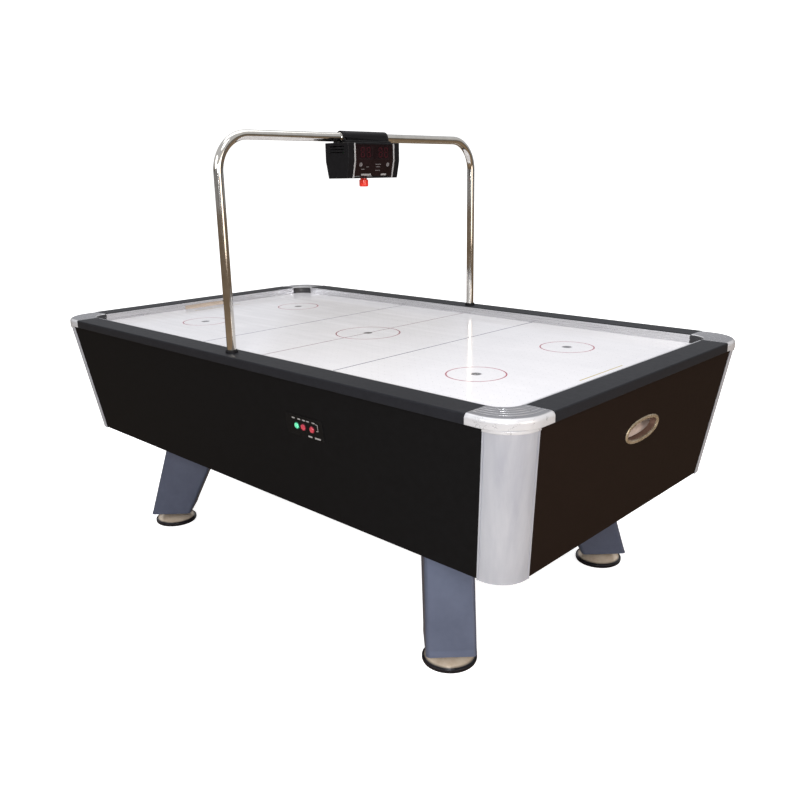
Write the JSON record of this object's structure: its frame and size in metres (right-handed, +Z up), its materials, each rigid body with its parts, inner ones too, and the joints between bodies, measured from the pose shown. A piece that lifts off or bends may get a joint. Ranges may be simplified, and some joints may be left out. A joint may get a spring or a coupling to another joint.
{
  "type": "air hockey table",
  "caption": "Air hockey table with a leaning black cabinet, silver corner posts, splayed box legs, a blown playfield, goals with puck returns, and an overhead tube with a two-sided scorer.",
  "frame": {"origin": "on the floor under the middle of the table, level with the four foot pads", "axes": "+Z up; +X along the long side, towards the right-hand end for a player who faces the control panel; the control panel is on the -Y side"},
  "size_m": [2.134, 1.219, 1.445],
  "materials": {
    "laminate_black": "satin black laminate on board",
    "post_silver": "satin silver",
    "cap_silver": "silver, semi-gloss",
    "rail_black": "charcoal laminate, satin",
    "bumper_pale": "pale anodised",
    "bumper_dark": "dark moulded",
    "playfield_white": "glossy white laminate with printed rings",
    "board_raw": "plain board",
    "board_dark": "dark sealed board",
    "chute_moulded": "cream moulded",
    "rim_champagne": "champagne metallic",
    "blower_black": "moulded black",
    "wheel_grey": "moulded grey",
    "motor_grey": "grey enamel",
    "box_steel": "grey coated steel",
    "plate_black": "satin black",
    "button_green": "lit green",
    "button_red": "lit red",
    "leg_silverblue": "blue-grey metallic laminate, satin",
    "chrome": "polished",
    "bolt_steel": "zinc plated",
    "scorer_black": "satin black",
    "scorer_smoked": "smoked red-brown",
    "circuit_board": "green board with digit blocks"
  },
  "bodies": {
    "table": {"side_panel_front": "laminate_black", "side_panel_back": "laminate_black", "end_panel_left": "laminate_black", "end_panel_right": "laminate_black", "corner_post_front_left": "post_silver", "corner_post_front_right": "post_silver", "corner_post_back_left": "post_silver", "corner_post_back_right": "post_silver", "corner_cap_front_left": "cap_silver", "corner_cap_front_right": "cap_silver", "corner_cap_back_left": "cap_silver", "corner_cap_back_right": "cap_silver", "rail_front": "rail_black", "rail_back": "rail_black", "rail_left": "rail_black", "rail_right": "rail_black", "bumper_front": "bumper_pale", "bumper_back": "bumper_pale", "bumper_left": "bumper_pale", "bumper_right": "bumper_pale", "corner_bumpers": "bumper_dark", "playfield": "playfield_white", "chamber_frame": "board_raw", "chamber_floor": "board_raw", "bottom_panel": "board_dark", "puck_chute_left": "chute_moulded", "puck_chute_right": "chute_moulded", "return_rim_left": "rim_champagne", "return_rim_right": "rim_champagne", "goal_sensors": "blower_black", "blower_housing": "blower_black", "blower_motor": "motor_grey", "intake_grille": "blower_black", "power_box": "box_steel", "power_inlet": "blower_black", "control_plate": "plate_black", "switch_bodies": "blower_black", "leg_front_left": "leg_silverblue", "leg_front_right": "leg_silverblue", "leg_back_left": "leg_silverblue", "leg_back_right": "leg_silverblue", "leg_bolts": "bolt_steel", "arch_tube_front": "chrome", "arch_tube_back": "chrome", "arch_sleeve": "chrome", "arch_sockets": "scorer_black", "scorer_housing": "scorer_black", "scorer_face_left": "scorer_smoked", "scorer_face_right": "scorer_smoked", "scorer_saddle": "scorer_black", "scorer_board": "circuit_board"},
    "foot_front_left": {"foot_front_left": "chrome"},
    "foot_front_right": {"foot_front_right": "chrome"},
    "foot_back_left": {"foot_back_left": "chrome"},
    "foot_back_right": {"foot_back_right": "chrome"},
    "button_green": {"button_green": "button_green"},
    "button_red_left": {"button_red_left": "button_red"},
    "button_red_right": {"button_red_right": "button_red"},
    "reset_button": {"reset_button": "button_red"},
    "blower_wheel": {"blower_wheel": "wheel_grey"}
  },
  "joints": [
    {"name": "foot_front_left_screw", "type": "slide", "parent": "table", "child": "foot_front_left", "axis": [0, 0, -1], "range_m": [0, 0.02]},
    {"name": "foot_front_right_screw", "type": "slide", "parent": "table", "child": "foot_front_right", "axis": [0, 0, -1], "range_m": [0, 0.02]},
    {"name": "foot_back_left_screw", "type": "slide", "parent": "table", "child": "foot_back_left", "axis": [0, 0, -1], "range_m": [0, 0.02]},
    {"name": "foot_back_right_screw", "type": "slide", "parent": "table", "child": "foot_back_right", "axis": [0, 0, -1], "range_m": [0, 0.02]},
    {"name": "button_green_press", "type": "slide", "parent": "table", "child": "button_green", "axis": [0, 0.9907, 0.1357], "range_m": [0, 0.003], "stiffness_N_per_m": 400, "springref_m": -0.003},
    {"name": "button_red_left_press", "type": "slide", "parent": "table", "child": "button_red_left", "axis": [0, 0.9907, 0.1357], "range_m": [0, 0.003], "stiffness_N_per_m": 400, "springref_m": -0.003},
    {"name": "button_red_right_press", "type": "slide", "parent": "table", "child": "button_red_right", "axis": [0, 0.9907, 0.1357], "range_m": [0, 0.003], "stiffness_N_per_m": 400, "springref_m": -0.003},
    {"name": "reset_button_press", "type": "slide", "parent": "table", "child": "reset_button", "axis": [0, 0, 1], "range_m": [0, 0.004], "stiffness_N_per_m": 600, "springref_m": -0.003},
    {"name": "blower_spin", "type": "hinge", "parent": "table", "child": "blower_wheel", "pos_m": [0, 0, 0.43], "axis": [0, 0, 1], "continuous": true}
  ]
}
